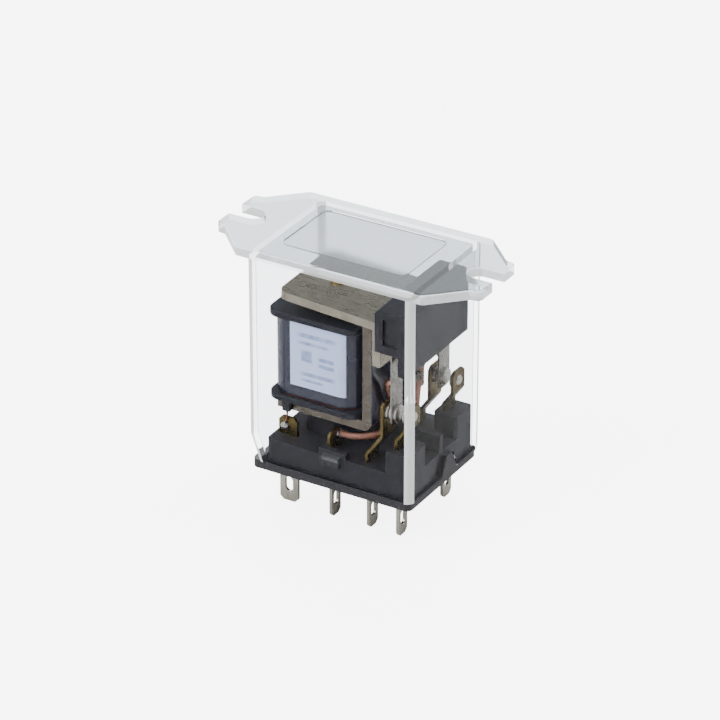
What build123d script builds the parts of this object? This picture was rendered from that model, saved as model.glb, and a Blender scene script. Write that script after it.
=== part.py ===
from build123d import *
import math
import os

# Plug-in general-purpose relay, two changeover poles, under a clear cover with a top mounting flange.
# Frame: +Z up, origin under the middle of the body at the level of the blade tips.
# -Y is the wide front that shows the coil, +X is the narrow end that shows the contacts.
# Millimetres throughout. "front" is the pole at -Y and "back" the pole at +Y.

os.makedirs("parts", exist_ok=True)

# ---------------------------------------------------------------- driving dimensions
# body
body_length = 28.0           # X, over the cover walls
body_width = 21.0            # Y, over the cover walls
body_height = 36.5           # base underside to the top face of the flange
blade_length = 6.3           # blade tip to base underside

# cover and its flange
cover_wall = 1.0
cover_corner = 1.3           # outside radius of the upright corners
flange_thickness = 1.6
flange_shoulder = 1.6        # full-width flange past each end wall
ear_reach = 8.25             # end wall to the end of an ear
ear_taper = 5.1              # length over which an ear narrows
ear_width = 10.8
ear_slot_width = 3.6         # open slot for a mounting screw
ear_slot_depth = 5.0
flange_corner = 0.95         # radius of the flange outline's corners
marking_length = 21.0        # shallow sunk panel in the top face
marking_width = 13.0
marking_depth = 0.3
top_edge_round = 0.3
end_taper_depth = 1.5        # the coil-end wall leans in above the rim
end_taper_height = 4.2
window_width = 3.2           # snap windows in the two long walls
window_height = 1.7
window_sill = 2.5            # cover's lower edge to the window
key_notch_width = 4.8        # tapered notch in the lower edge of the contact-end wall
key_notch_top = 1.8
key_notch_height = 3.2
key_notch_y = 1.2

# base
rim_height = 1.4
rim_inset = 0.4              # the rim stands this far inside the cover walls
rim_corner = 1.0
deck_height = 5.2            # base underside to the deck
base_gap = 0.15              # base block to cover wall
pedestal_length = 8.4
pedestal_gap = 0.5           # pedestal to the strips beside it
pedestal_height = 4.4        # deck to the underside of the yoke
pedestal_corner = 2.6
post_height = 3.6            # corner blocks that hold the outer contact terminals upright
post_wall = 0.55             # strip's edge to the post's inner side
post_reach = 1.4             # outer contact blade to the post's inner end
barrier_thickness = 1.0
barrier_height = 2.8
barrier_length = 4.0
tongue_width = 4.8
tongue_thickness = 1.0
tongue_height = 1.0
lug_reach = 0.75             # how far a snap lug stands out of the block
moulded_gap = 0.05           # base to cover where a lug fills an opening
underside_pocket_depth = 0.9
underside_pocket_width = 7.0
underside_pocket_length = 19.0
underside_pocket_corner = 1.0
screw_boss_wall = 0.8        # left round the screw's recess in the pocket

# blades and terminal strips
blade_width = 2.6
blade_thickness = 0.5
strip_width = 3.4            # the strips widen above the deck
blade_tip_chamfer = 0.6
coil_blade_width = 3.2       # the coil blades are turned flat to the front
coil_blade_top = 2.9         # deck to the top of a coil blade
com_blade_top = 3.0
blade_hole_length = 2.4
blade_hole_width = 1.3
blade_hole_drop = 3.4        # base underside to the hole's centre
column_offset = 6.6          # Y of each column of blades
com_blade_offset = 3.2       # core axis to the common blades
coil_blade_offset = 4.7      # core axis to the coil blades
blade_joggle_nc = 2.6        # how far a strip steps over above the base
blade_joggle_no = 1.5
joggle_slope = 1.4
joggle_start = 1.4           # above the strip's shoulder
slot_gap = 0.05
strip_bend = 0.7             # centreline radius of the strips' joggles

# magnet system
coil_end_gap = 0.8           # cover wall to bobbin
bobbin_length = 15.6         # X
bobbin_width = 16.0          # Y
bobbin_height = 14.8
flange_wall = 1.0            # thickness of each bobbin cheek
bobbin_corner = 2.0
bobbin_tube_wall = 0.8
winding_length = 14.8
winding_width = 14.4
winding_corner = 3.2
wire_lug_width = 1.3         # lugs under the lower cheek that guide the coil wires
wire_lug_depth = 0.9
wire_lug_height = 1.5
tape_thickness = 0.2
tape_margin = 0.25           # cheek to tape
label_thickness = 0.15
label_height = 10.6
label_length = 9.4
label_shift = 0.9            # towards the yoke
label_lift = 1.0
core_diameter = 6.4
core_bore_gap = 0.1
core_head_diameter = 10.0
core_head_height = 0.78
core_spigot_diameter = 5.0
screw_hole_depth = 5.0
yoke_thickness = 1.6
yoke_width = 14.0
yoke_gap = 0.4               # bobbin to yoke leg
yoke_toe = 6.4               # core axis to the end of the yoke's foot
pole_gap = 0.12              # pole face to closed armature
ring_outer = 4.1             # outside radius of the shading ring
ring_width = 0.8
ring_depth = 0.45
ring_chord = 0.6             # core axis to the ring's straight side
insulator_thickness = 0.25
insulator_width = 14.6
insulator_height = 13.5
insulator_window = 3.4       # cut away round the spring tab
insulator_window_height = 5.9
insulator_gap = 0.05         # to the yoke's leg

# armature and what it carries
open_angle = 4.0             # degrees between rest and pulled in
hinge_clearance = 0.02
armature_thickness = 1.3
armature_reach = 15.8        # hinge to the free end
armature_width = 15.0
plate_corner = 1.5
arm_gap = 0.35               # yoke leg to the hanging arm
arm_drop = 5.8               # hinge to the lower end of the arm
arm_bend = 1.2
tail_drop = 0.15             # hinge to the underside of the spring tongue
tail_reach = 3.6             # hinge to the end of the spring tongue
tail_width = 2.2
tail_thickness = 1.0
arm_slot_width = 3.4
residual_pin_diameter = 1.5
residual_pin_head = 2.8
residual_pin_head_height = 0.35
residual_pin_proud = 0.07
block_depth = 5.0            # X
block_width = 18.0           # Y
block_rise = 4.3             # hinge to the top of the block
block_drop = 2.4             # hinge to the underside of the block
skirt_drop = 5.5             # hinge to the lower edge of the skirt
skirt_thickness = 1.1
block_pocket_width = 3.4     # room for the spring and the tongue that it pulls
block_pocket_depth = 2.5
block_pocket_rise = 1.1      # hinge to the roof of the pocket
block_round = 0.7
end_recess_depth = 0.5
end_recess_length = 2.4
end_recess_height = 4.2
leaf_offset = 2.2            # arm's outer face to the leaf
leaf_thickness = 0.25
leaf_width = 3.2
leaf_tail = 1.8              # contact centre to the leaf's lower end
leaf_grip = 4.0              # length held in the block
rivet_drop = 1.3             # hinge to the two rivets that hold the block
rivet_diameter = 1.2
rivet_head = 1.8             # flush in the arm's inner face
rivet_head_height = 0.5
rivet_bite = 3.2             # how far a rivet's shank is moulded into the block

# contacts
contact_height = 14.0        # base underside to the contact centres
contact_diameter = 2.6
contact_head = 0.55
contact_dome = 0.12
contact_shank = 1.2
contact_rear_head = 0.2
contact_gap_closed = 0.03    # left between faces that touch on the real part
strip_over_contact = 1.7     # contact centre to the top of its strip

# return spring
spring_diameter = 2.0        # over the wire's centreline
spring_wire = 0.3
spring_offset = 2.5          # hinge to the spring's axis
spring_tab_width = 2.2
spring_tab_thickness = 1.2
spring_tab_reach = 3.5
spring_tab_drop = 9.7        # hinge to the top of the tab
spring_tab_cut = 0.2         # the press tool's clearance beside the tab
spring_hole = 0.9            # for the spring's hooks, in the tab and in the tongue
spring_end_gap = 0.04

# leads
lead_diameter = 1.1          # flexible leads from the common terminals to the leaves
lead_gap = 0.03              # left to the strip at each end, where the real one is welded
lead_bend_share = 0.45       # share of the shorter run that a bend may use
lead_leaf_inset = 1.0        # column's centreline to the lead's end on the leaf
lead_leaf_height = 18.4      # base underside to that end
lead_blade_inset = 1.0       # column's centreline to the lead's end on the common terminal
lead_blade_height = 7.1      # base underside to that end
# between its ends: X from the hinge, Y in from the column, Z from the base underside
lead_way = [
    (1.3, 1.0, 18.4),
    (1.4, 3.3, 13.6),
    (1.4, 3.8, 8.6),
    (-3.0, 1.0, 7.1),
]
coil_wire_diameter = 0.3
solder_diameter = 1.5
solder_height = 0.6

# frame screw, up through the base into the core
screw_sink = 0.3             # base underside to the screw's head
frame_screw_head = 5.0
frame_screw_head_height = 1.2
frame_screw_diameter = 2.9
frame_screw_hole = 3.2
frame_screw_recess = 5.6
frame_screw_bite = 3.6       # yoke's underside to the screw's end
frame_screw_slot = 0.8
frame_screw_slot_depth = 0.7
frame_screw_slot_length = 3.6
frame_screw_edge = 0.35

# ---------------------------------------------------------------- layout from the dimensions above
base_z = blade_length                                  # underside of the base
seat_z = base_z + rim_height                           # the cover stands on the rim here
deck_z = base_z + deck_height
top_z = base_z + body_height
flange_z = top_z - flange_thickness
flange_length = body_length + 2 * ear_reach            # over both ears

wall_x = body_length / 2 - cover_wall                  # inner faces of the cover
wall_y = body_width / 2 - cover_wall
coil_end_x = -body_length / 2

core_x = -wall_x + coil_end_gap + bobbin_length / 2
yoke_x = core_x + bobbin_length / 2 + yoke_gap         # inner face of the yoke's leg
hinge_x = yoke_x + yoke_thickness
yoke_z = deck_z + pedestal_height                      # underside of the yoke's foot
bobbin_z = yoke_z + yoke_thickness
bobbin_top = bobbin_z + bobbin_height
hinge_z = bobbin_top + core_head_height + pole_gap     # top edge of the yoke's leg
winding_z = bobbin_z + flange_wall
winding_top = bobbin_top - flange_wall

arm_x = hinge_x + arm_gap                              # inner face of the arm
block_x = arm_x + armature_thickness                   # inner face of the block
leaf_x = block_x + leaf_offset                         # inner face of the leaf
contact_z = base_z + contact_height
contact_radius = hinge_z - contact_z                   # hinge to contact, vertically
swing = contact_radius * math.sin(math.radians(open_angle))

nc_face_x = leaf_x - contact_head - contact_gap_closed
no_face_x = leaf_x + leaf_thickness + contact_head + swing + contact_gap_closed
nc_strip_x = nc_face_x - contact_head - blade_thickness / 2
no_strip_x = no_face_x + contact_head + blade_thickness / 2
nc_blade_x = nc_strip_x - blade_joggle_nc
no_blade_x = no_strip_x - blade_joggle_no
com_blade_x = core_x + com_blade_offset
coil_blade_x = core_x - coil_blade_offset
wire_lug_x = coil_blade_x + coil_blade_width / 2 - wire_lug_width
solder_z = deck_z + coil_blade_top - solder_diameter      # soldered end of each coil wire
sides = {"front": -1, "back": 1}

spring_x = hinge_x + spring_offset
spring_tab_z = hinge_z - spring_tab_drop               # top face of the yoke's spring tab
tail_z = hinge_z - tail_drop                           # underside of the armature's spring tongue


def save(part, name):
    """Labels a finished piece and writes it as its own node."""
    part.label = name
    export_step(part, f"parts/{name}.step")


def key_outline(gap):
    """The notch in the contact-end wall as Y, Z points, drawn in by gap for the lug that fills it."""
    foot = key_notch_width / 2 - gap
    crown = key_notch_top / 2 - gap
    return [
        (key_notch_y - foot, seat_z),
        (key_notch_y + foot, seat_z),
        (key_notch_y + crown, seat_z + key_notch_height - gap),
        (key_notch_y - crown, seat_z + key_notch_height - gap),
    ]


# ---------------------------------------------------------------- cover
# A clear moulded box, open below, whose top plate runs out into a slotted ear at each end.
taper_slope = end_taper_depth / end_taper_height
taper_wall = cover_wall * math.hypot(1, taper_slope)   # the leaning wall, measured along X

with BuildPart() as cover_cavity:
    with BuildSketch(Plane.XZ):
        with BuildLine():
            Polyline(
                (coil_end_x + end_taper_depth + taper_wall, seat_z),
                (wall_x, seat_z),
                (wall_x, flange_z),
                (-wall_x, flange_z),
                (-wall_x, seat_z + (end_taper_depth + taper_wall - cover_wall) / taper_slope),
                close=True,
            )
        make_face()
    extrude(amount=wall_y, both=True)
    upright = cover_cavity.edges().filter_by(lambda e: abs(e.tangent_at(0.5).Z) > 0.5)
    fillet(upright, radius=cover_corner / 2)

with BuildPart() as cover:
    with BuildSketch(Plane.XZ):
        with BuildLine():
            Polyline(
                (coil_end_x + end_taper_depth, seat_z),
                (body_length / 2, seat_z),
                (body_length / 2, top_z),
                (coil_end_x, top_z),
                (coil_end_x, seat_z + end_taper_height),
                close=True,
            )
        make_face()
    extrude(amount=body_width / 2, both=True)
    upright = cover.edges().filter_by(lambda e: abs(e.tangent_at(0.5).Z) > 0.5)
    fillet(upright, radius=cover_corner)

    with BuildSketch(Plane.XY.offset(flange_z)) as flange_outline:
        shoulder_x = body_length / 2 + flange_shoulder
        ear_x = shoulder_x + ear_taper
        quarter = [
            (shoulder_x, body_width / 2),
            (ear_x, ear_width / 2),
            (flange_length / 2, ear_width / 2),
        ]
        right = quarter + [(x, -y) for x, y in reversed(quarter)]
        with BuildLine():
            Polyline(*right, *[(-x, -y) for x, y in right], close=True)
        make_face()
        fillet(flange_outline.vertices(), radius=flange_corner)
        with Locations((flange_length / 2, 0), (-flange_length / 2, 0)):
            SlotOverall(2 * ear_slot_depth, ear_slot_width, mode=Mode.SUBTRACT)
    extrude(amount=flange_thickness)

    rim_edges = cover.faces().sort_by(Axis.Z)[-1].outer_wire().edges()
    fillet(rim_edges, radius=top_edge_round)
    add(cover_cavity.part, mode=Mode.SUBTRACT)

    with BuildSketch(Plane.XY.offset(top_z)):
        RectangleRounded(marking_length, marking_width, cover_corner)
    extrude(amount=-marking_depth, mode=Mode.SUBTRACT)

    with BuildSketch(Plane.XZ):
        with Locations((0, seat_z + window_sill + window_height / 2)):
            RectangleRounded(window_width, window_height, 2 * moulded_gap)
    extrude(amount=body_width, both=True, mode=Mode.SUBTRACT)

    with BuildSketch(Plane.YZ.offset(wall_x)):
        with BuildLine():
            Polyline(*key_outline(0), close=True)
        make_face()
    extrude(amount=cover_wall, mode=Mode.SUBTRACT)
save(cover.part, "cover")

# ---------------------------------------------------------------- base
# A black moulded block on a thin rim. Blades pass through slots; a pedestal carries the magnet system.
contact_slots = [
    (x, side * column_offset)
    for x in (nc_blade_x, no_blade_x, com_blade_x)
    for side in sides.values()
]
coil_slots = [(coil_blade_x, side * column_offset) for side in sides.values()]
block_left = coil_end_x + end_taper_depth + taper_wall + base_gap
block_right = wall_x - base_gap
block_side = wall_y - base_gap
lug_z = seat_z + window_sill

with BuildPart() as base:
    with BuildSketch(Plane.XY.offset(base_z)):
        RectangleRounded(body_length - 2 * rim_inset, body_width - 2 * rim_inset, rim_corner)
    extrude(amount=rim_height)
    with BuildSketch(Plane.XY.offset(seat_z)):
        with Locations(((block_left + block_right) / 2, 0)):
            RectangleRounded(block_right - block_left, 2 * block_side, cover_corner / 2)
    extrude(amount=deck_z - seat_z)

    with BuildSketch(Plane.XY.offset(deck_z)):
        with Locations((core_x, 0)):
            pedestal_side = column_offset - strip_width / 2 - pedestal_gap
            RectangleRounded(pedestal_length, 2 * pedestal_side, pedestal_corner)
    extrude(amount=pedestal_height)
    with BuildSketch(Plane.XY.offset(deck_z)):
        with Locations((block_right - barrier_length / 2, 0)):
            Rectangle(barrier_length, barrier_thickness)
    extrude(amount=barrier_height)

    with BuildSketch(Plane.YZ.offset(block_right - cover_wall)):
        with BuildLine():
            Polyline(*key_outline(moulded_gap), close=True)
        make_face()
    extrude(amount=2 * cover_wall)

    post_left = no_blade_x - post_reach
    post_inner_y = column_offset - strip_width / 2 - post_wall
    for side in sides.values():
        with BuildSketch(Plane.XY.offset(deck_z)):
            with Locations(((post_left + block_right) / 2, side * (post_inner_y + block_side) / 2)):
                RectangleRounded(block_right - post_left, block_side - post_inner_y, cover_corner / 2)
        extrude(amount=post_height)
        with BuildSketch(Plane.XY.offset(deck_z)):
            with Locations((0, side * (block_side - tongue_thickness / 2))):
                Rectangle(tongue_width, tongue_thickness)
        extrude(amount=tongue_height)
        # snap lug: a wedge, steep below and sloping above, that fills the cover's window
        lug_reach_y = side * (block_side + lug_reach)
        with BuildSketch(Plane.YZ.offset(-(window_width / 2 - moulded_gap))):
            with BuildLine():
                Polyline(
                    (side * block_side, lug_z + moulded_gap),
                    (lug_reach_y, lug_z + moulded_gap),
                    (lug_reach_y, lug_z + window_height / 2),
                    (side * block_side, lug_z + window_height - moulded_gap),
                    close=True,
                )
            make_face()
        extrude(amount=window_width - 2 * moulded_gap)

    with BuildSketch(Plane.XY.offset(base_z)):
        RectangleRounded(underside_pocket_length, underside_pocket_width, underside_pocket_corner)
        with Locations((core_x, 0)):
            Circle(frame_screw_recess / 2 + screw_boss_wall, mode=Mode.SUBTRACT)
    extrude(amount=underside_pocket_depth, mode=Mode.SUBTRACT)
    with BuildSketch(Plane.XY.offset(base_z)):
        with Locations((core_x, 0)):
            Circle(frame_screw_recess / 2)
    extrude(amount=frame_screw_head_height + screw_sink, mode=Mode.SUBTRACT)
    with BuildSketch(Plane.XY.offset(base_z)):
        with Locations((core_x, 0)):
            Circle(frame_screw_hole / 2)
    extrude(amount=yoke_z - base_z, mode=Mode.SUBTRACT)

    with BuildSketch(Plane.XY.offset(base_z)):
        with Locations(*contact_slots):
            Rectangle(blade_thickness + 2 * slot_gap, blade_width + 2 * slot_gap)
        with Locations(*coil_slots):
            Rectangle(coil_blade_width + 2 * slot_gap, blade_thickness + 2 * slot_gap)
    extrude(amount=deck_height + post_height, mode=Mode.SUBTRACT)
save(base.part, "base")

# ---------------------------------------------------------------- frame screw
screw_head_z = base_z + screw_sink
with BuildPart() as frame_screw:
    with BuildSketch(Plane.XY.offset(screw_head_z)):
        with Locations((core_x, 0)):
            Circle(frame_screw_head / 2)
    extrude(amount=frame_screw_head_height)
    fillet(frame_screw.edges().group_by(Axis.Z)[0], radius=frame_screw_edge)
    with BuildSketch(Plane.XY.offset(screw_head_z)):
        with Locations((core_x, 0)):
            Circle(frame_screw_diameter / 2)
    extrude(amount=yoke_z + frame_screw_bite - screw_head_z)
    with BuildSketch(Plane.XY.offset(screw_head_z)):
        with Locations((core_x, 0)):
            Rectangle(frame_screw_slot_length, frame_screw_slot)
            Rectangle(frame_screw_slot, frame_screw_slot_length)
    extrude(amount=frame_screw_slot_depth, mode=Mode.SUBTRACT)
save(frame_screw.part, "frame_screw")

# ---------------------------------------------------------------- yoke
# One bent strip: the foot runs under the coil, the leg stands between coil and contacts.
with BuildPart() as yoke:
    with BuildSketch(Plane.XZ) as yoke_profile:
        with BuildLine():
            Polyline(
                (core_x - yoke_toe, yoke_z),
                (hinge_x, yoke_z),
                (hinge_x, hinge_z),
                (yoke_x, hinge_z),
                (yoke_x, bobbin_z),
                (core_x - yoke_toe, bobbin_z),
                close=True,
            )
        make_face()
        bend_corner = yoke_profile.vertices().sort_by(Axis.X)[-2:].sort_by(Axis.Y)[0]
        fillet(bend_corner, radius=yoke_thickness)
    extrude(amount=yoke_width / 2, both=True)
    # the spring tab is cut out of the leg below it and bent outwards
    with BuildSketch(Plane.YZ.offset(yoke_x)):
        with Locations((0, spring_tab_z - spring_tab_reach / 2)):
            Rectangle(spring_tab_width + 2 * spring_tab_cut, spring_tab_reach)
    extrude(amount=yoke_thickness, mode=Mode.SUBTRACT)
    with BuildSketch(Plane.XY.offset(spring_tab_z - spring_tab_thickness)):
        with Locations((yoke_x + (yoke_thickness + spring_tab_reach) / 2, 0)):
            Rectangle(yoke_thickness + spring_tab_reach, spring_tab_width)
        with Locations((spring_x, 0)):
            Circle(spring_hole / 2, mode=Mode.SUBTRACT)
    extrude(amount=spring_tab_thickness)
    with BuildSketch(Plane.XY.offset(yoke_z)):
        with Locations((core_x, 0)):
            Circle(core_spigot_diameter / 2)
    extrude(amount=yoke_thickness, mode=Mode.SUBTRACT)
save(yoke.part, "yoke")

# ---------------------------------------------------------------- core and shading ring
pole_z = hinge_z - pole_gap

# the shading ring is a D round the half of the pole face away from the hinge
with BuildSketch(Plane.XY.offset(pole_z)) as ring_outline:
    with Locations((core_x, 0)):
        Circle(ring_outer)
        with Locations((ring_chord + ring_outer, 0)):
            Rectangle(2 * ring_outer, 2 * ring_outer, mode=Mode.SUBTRACT)
        Circle(ring_outer - ring_width, mode=Mode.SUBTRACT)
        with Locations((ring_chord - ring_width / 2, 0)):
            Rectangle(ring_width, 2 * (ring_outer - ring_width))

with BuildPart() as core:
    with BuildSketch(Plane.XY.offset(bobbin_top)):
        with Locations((core_x, 0)):
            Circle(core_head_diameter / 2)
    extrude(amount=core_head_height)
    with BuildSketch(Plane.XY.offset(bobbin_z)):
        with Locations((core_x, 0)):
            Circle(core_diameter / 2)
    extrude(amount=bobbin_height)
    with BuildSketch(Plane.XY.offset(yoke_z)):
        with Locations((core_x, 0)):
            Circle(core_spigot_diameter / 2)
    extrude(amount=yoke_thickness)
    with BuildSketch(Plane.XY.offset(yoke_z)):
        with Locations((core_x, 0)):
            Circle(frame_screw_diameter / 2)
    extrude(amount=screw_hole_depth, mode=Mode.SUBTRACT)
    extrude(ring_outline.sketch, amount=-ring_depth, mode=Mode.SUBTRACT)
save(core.part, "core")

with BuildPart() as shading_ring:
    extrude(ring_outline.sketch, amount=-ring_depth)
save(shading_ring.part, "shading_ring")

# ---------------------------------------------------------------- bobbin, winding, tape and label
tube_inner = core_diameter / 2 + core_bore_gap
tube_outer = tube_inner + bobbin_tube_wall

with BuildPart() as coil_bobbin:
    for cheek_z in (bobbin_z, winding_top):
        with BuildSketch(Plane.XY.offset(cheek_z)):
            with Locations((core_x, 0)):
                RectangleRounded(bobbin_length, bobbin_width, bobbin_corner)
        extrude(amount=flange_wall)
    with BuildSketch(Plane.XY.offset(bobbin_z)):
        with Locations((core_x, 0)):
            Circle(tube_outer)
    extrude(amount=bobbin_height)
    # a lug hangs beside each edge of the yoke's foot and guides the coil wire to its blade
    wire_lug_y = bobbin_width / 2 - wire_lug_depth / 2
    with BuildSketch(Plane.XY.offset(bobbin_z - wire_lug_height)):
        with Locations((wire_lug_x, -wire_lug_y), (wire_lug_x, wire_lug_y)):
            Rectangle(wire_lug_width, wire_lug_depth)
    extrude(amount=wire_lug_height)
    with BuildSketch(Plane.XY.offset(bobbin_z)):
        with Locations((core_x, 0)):
            Circle(tube_inner)
    extrude(amount=bobbin_height, mode=Mode.SUBTRACT)
save(coil_bobbin.part, "coil_bobbin")

with BuildPart() as coil_winding:
    with BuildSketch(Plane.XY.offset(winding_z)):
        with Locations((core_x, 0)):
            RectangleRounded(winding_length, winding_width, winding_corner)
            Circle(tube_outer, mode=Mode.SUBTRACT)
    extrude(amount=winding_top - winding_z)
save(coil_winding.part, "coil_winding")

tape_length = winding_length + 2 * tape_thickness
tape_width = winding_width + 2 * tape_thickness
with BuildPart() as coil_tape:
    with BuildSketch(Plane.XY.offset(winding_z + tape_margin)):
        with Locations((core_x, 0)):
            RectangleRounded(tape_length, tape_width, winding_corner + tape_thickness)
            RectangleRounded(winding_length, winding_width, winding_corner, mode=Mode.SUBTRACT)
    extrude(amount=winding_top - winding_z - 2 * tape_margin)
save(coil_tape.part, "coil_tape")

label_z = (winding_z + winding_top - label_height) / 2 + label_lift
with BuildPart() as coil_label:
    with BuildSketch(Plane.XY.offset(label_z)):
        with Locations((core_x, 0)):
            RectangleRounded(
                tape_length + 2 * label_thickness,
                tape_width + 2 * label_thickness,
                winding_corner + tape_thickness + label_thickness,
            )
            RectangleRounded(
                tape_length, tape_width, winding_corner + tape_thickness, mode=Mode.SUBTRACT
            )
        with Locations((core_x + label_shift, -tape_width / 2)):
            Rectangle(label_length, tape_width, mode=Mode.INTERSECT)
    extrude(amount=label_height)
save(coil_label.part, "coil_label")

# ---------------------------------------------------------------- insulator on the yoke's leg
with BuildPart() as insulator:
    with BuildSketch(Plane.YZ.offset(hinge_x + insulator_gap)):
        with Locations((0, bobbin_z + insulator_height / 2)):
            Rectangle(insulator_width, insulator_height)
        with Locations((0, spring_tab_z - spring_tab_reach / 2)):
            Rectangle(insulator_window, insulator_window_height, mode=Mode.SUBTRACT)
    extrude(amount=insulator_thickness)
save(insulator.part, "insulator")


# ---------------------------------------------------------------- terminals
def solder_hole(plane, centre_x):
    """The outline of the oblong hole through a blade below the base, on the blade's middle plane."""
    with BuildSketch(plane) as hole:
        with Locations((centre_x, base_z - blade_hole_drop)):
            SlotOverall(blade_hole_length, blade_hole_width, rotation=90)
    return hole.sketch


def contact_terminal(blade_x, side, strip_x, strip_top, shoulder_z, rivet_z=None):
    """A blade with its flat to the contact end; above its shoulders the strip may step over to strip_x."""
    side_y = side * column_offset
    step_z = shoulder_z + joggle_start
    route = [(blade_x, 0), (blade_x, strip_top)]
    if strip_x != blade_x:
        step_top = step_z + joggle_slope * (strip_x - blade_x)
        route = [(blade_x, 0), (blade_x, step_z), (strip_x, step_top), (strip_x, strip_top)]
    with BuildPart() as strip:
        with BuildSketch(Plane.XZ.offset(-side_y)):
            with BuildLine():
                if len(route) == 2:
                    Line(*route)
                else:
                    FilletPolyline(*route, radius=strip_bend)
            trace(line_width=blade_thickness)
        extrude(amount=strip_width / 2, both=True)
        # below its shoulders the strip narrows to the blade
        with BuildSketch(Plane.YZ.offset(blade_x)):
            margin = (strip_width - blade_width) / 2
            shoulder_y = (blade_width + margin) / 2
            with Locations((side_y - shoulder_y, shoulder_z / 2), (side_y + shoulder_y, shoulder_z / 2)):
                Rectangle(margin, shoulder_z)
        extrude(amount=blade_thickness, both=True, mode=Mode.SUBTRACT)
        ends = strip.edges().filter_by(Axis.X).group_by(Axis.Z)
        chamfer(ends[0] + ends[-1], length=blade_tip_chamfer)
        hole = solder_hole(Plane.YZ.offset(blade_x), side_y)
        extrude(hole, amount=blade_thickness, both=True, mode=Mode.SUBTRACT)
        if rivet_z:
            with BuildSketch(Plane.YZ.offset(strip_x)):
                with Locations((side_y, rivet_z)):
                    Circle(contact_shank / 2)
            extrude(amount=blade_thickness, both=True, mode=Mode.SUBTRACT)
    return strip.part


post_z = deck_z + post_height
strip_top_z = contact_z + strip_over_contact
for name, side in sides.items():
    save(contact_terminal(com_blade_x, side, com_blade_x, deck_z + com_blade_top, deck_z),
         f"com_terminal_{name}")
    save(contact_terminal(nc_blade_x, side, nc_strip_x, strip_top_z, deck_z, contact_z),
         f"nc_terminal_{name}")
    save(contact_terminal(no_blade_x, side, no_strip_x, strip_top_z, post_z, contact_z),
         f"no_terminal_{name}")

    side_y = side * column_offset
    with BuildPart() as coil_terminal:
        with BuildSketch(Plane.XZ.offset(-side_y)):
            with Locations((coil_blade_x, (deck_z + coil_blade_top) / 2)):
                Rectangle(coil_blade_width, deck_z + coil_blade_top)
        extrude(amount=blade_thickness / 2, both=True)
        ends = coil_terminal.edges().filter_by(Axis.Y).group_by(Axis.Z)
        chamfer(ends[0] + ends[-1], length=blade_tip_chamfer)
        hole = solder_hole(Plane.XZ.offset(-side_y), coil_blade_x)
        extrude(hole, amount=blade_thickness, both=True, mode=Mode.SUBTRACT)
    save(coil_terminal.part, f"coil_terminal_{name}")


# ---------------------------------------------------------------- contacts
def contact(face_x, facing, side, shank_length, rear_head):
    """A riveted contact whose domed head faces +X or -X. face_x is the crown of the dome."""
    centre = (face_x, side * column_offset, contact_z)
    radius = contact_diameter / 2
    back = contact_head + shank_length
    with BuildPart() as rivet:
        with BuildSketch(Plane(origin=centre, x_dir=(0, 1, 0), z_dir=(0, 0, facing))):
            with BuildLine():
                ThreePointArc((0, 0), (radius / 2, contact_dome / 4), (radius, contact_dome))
                Polyline(
                    (radius, contact_dome),
                    (radius, contact_head),
                    (contact_shank / 2, contact_head),
                    (contact_shank / 2, back),
                )
                if rear_head:
                    Polyline(
                        (contact_shank / 2, back),
                        (contact_shank / 2 + rear_head, back),
                        (contact_shank / 2, back + rear_head),
                        (0, back + rear_head),
                        (0, 0),
                    )
                else:
                    Polyline((contact_shank / 2, back), (0, back), (0, 0))
            make_face()
        revolve(axis=Axis(centre, (1, 0, 0)))
    return rivet.part


for name, side in sides.items():
    save(contact(nc_face_x, 1, side, blade_thickness, contact_rear_head), f"nc_contact_{name}")
    save(contact(no_face_x, -1, side, blade_thickness, contact_rear_head), f"no_contact_{name}")
    # the moving contact has a domed head on each side of its leaf
    half = contact(leaf_x - contact_head, -1, side, leaf_thickness / 2, 0)
    with BuildPart() as moving_contact:
        add(half)
        mirror(about=Plane.YZ.offset(leaf_x + leaf_thickness / 2))
    save(moving_contact.part, f"moving_contact_{name}")


# ---------------------------------------------------------------- armature
# An L plate that rocks on the outer top edge of the yoke's leg. At rest its arm hangs straight down
# and its plate is lifted off the pole by the opening angle.
tilt = math.radians(open_angle)
under_z = hinge_z + hinge_clearance
# the rivets stand midway between the slot in the arm and the leaves
rivet_y = (arm_slot_width / 2 + column_offset - leaf_width / 2) / 2
rivet_places = [(-rivet_y, hinge_z - rivet_drop), (rivet_y, hinge_z - rivet_drop)]


def plate_point(along, above):
    """X, Z of a point on the tilted plate, from the hinge along it and above its underside."""
    return (
        hinge_x - along * math.cos(tilt) + above * math.sin(tilt),
        under_z + along * math.sin(tilt) + above * math.cos(tilt),
    )


pin_foot_x, pin_foot_z = plate_point(hinge_x - core_x, -residual_pin_proud)
pin_plane = Plane(
    origin=(pin_foot_x, 0, pin_foot_z),
    x_dir=(math.cos(tilt), 0, -math.sin(tilt)),
    z_dir=(math.sin(tilt), 0, math.cos(tilt)),
)

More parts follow.
